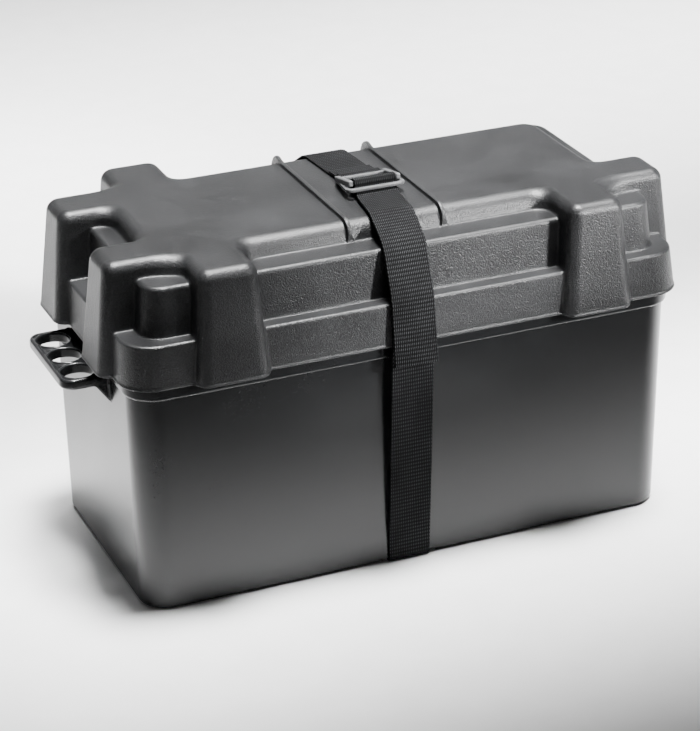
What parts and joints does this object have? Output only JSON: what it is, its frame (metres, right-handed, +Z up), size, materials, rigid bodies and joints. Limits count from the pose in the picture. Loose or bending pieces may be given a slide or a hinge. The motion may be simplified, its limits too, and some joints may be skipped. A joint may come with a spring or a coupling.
{
  "type": "strapped battery box with deep cycle battery",
  "caption": "Lidded plastic battery box held shut by a webbing strap and buckle, with bored lifting lugs at its ends and a flooded deep cycle battery inside.",
  "frame": {"origin": "middle of the underside of the box, on the surface it stands on", "axes": "+X along the box, +Z up, the buckle's loose strap end hangs down the front, which faces -Y"},
  "size_m": [0.4696, 0.2292, 0.2647],
  "materials": {
    "tub": "smooth, slightly glossy",
    "lid": "fine stipple",
    "webbing": "woven webbing",
    "buckle": "satin",
    "battery_case": "satin",
    "vent_cap": "satin",
    "lead": "dull cast",
    "steel": "brushed",
    "positive_plate": "dull, oxide paste",
    "negative_plate": "dull, spongy paste",
    "separator": "matt sheet"
  },
  "bodies": {
    "tub": {"box_base": "tub", "lug_right": "tub", "lug_left": "tub", "strap_under": "webbing", "strap_front": "webbing", "strap_rear": "webbing", "battery_case": "battery_case", "battery_cover": "battery_case", "positive_plates_1": "positive_plate", "negative_plates_1": "negative_plate", "separators_1": "separator", "positive_plates_2": "positive_plate", "negative_plates_2": "negative_plate", "separators_2": "separator", "positive_plates_3": "positive_plate", "negative_plates_3": "negative_plate", "separators_3": "separator", "positive_plates_4": "positive_plate", "negative_plates_4": "negative_plate", "separators_4": "separator", "positive_plates_5": "positive_plate", "negative_plates_5": "negative_plate", "separators_5": "separator", "positive_plates_6": "positive_plate", "negative_plates_6": "negative_plate", "separators_6": "separator", "cell_link_1": "lead", "cell_link_2": "lead", "cell_link_3": "lead", "cell_link_4": "lead", "cell_link_5": "lead", "terminal_positive": "lead", "washer_positive": "steel", "terminal_negative": "lead", "washer_negative": "steel"},
    "lid": {"box_lid": "lid", "strap_over_lid": "webbing", "strap_tail": "webbing", "buckle_ring_lower": "buckle"},
    "buckle": {"buckle_ring_upper": "buckle"},
    "cap_left": {"vent_cap_left": "vent_cap"},
    "cap_right": {"vent_cap_right": "vent_cap"},
    "nut_positive": {"wing_nut_positive": "steel"},
    "nut_negative": {"wing_nut_negative": "steel"}
  },
  "joints": [
    {"name": "lid_lift", "type": "slide", "parent": "tub", "child": "lid", "axis": [0, 0, 1], "range_m": [0, 0.072], "deforming": ["strap_front", "strap_rear"]},
    {"name": "buckle_tilt", "type": "hinge", "parent": "lid", "child": "buckle", "pos_m": [0.0033, -0.0223, 0.2613], "axis": [1, 0, 0], "range_deg": [0, 60]},
    {"name": "cap_left_lift", "type": "slide", "parent": "tub", "child": "cap_left", "axis": [0, 0, 1], "range_m": [0, 0.012]},
    {"name": "cap_right_lift", "type": "slide", "parent": "tub", "child": "cap_right", "axis": [0, 0, 1], "range_m": [0, 0.012]},
    {"name": "nut_positive_turn", "type": "hinge", "parent": "tub", "child": "nut_positive", "pos_m": [-0.137, -0.05, 0.222], "axis": [0, 0, 1], "continuous": true},
    {"name": "nut_negative_turn", "type": "hinge", "parent": "tub", "child": "nut_negative", "pos_m": [0.137, -0.05, 0.222], "axis": [0, 0, 1], "continuous": true}
  ]
}
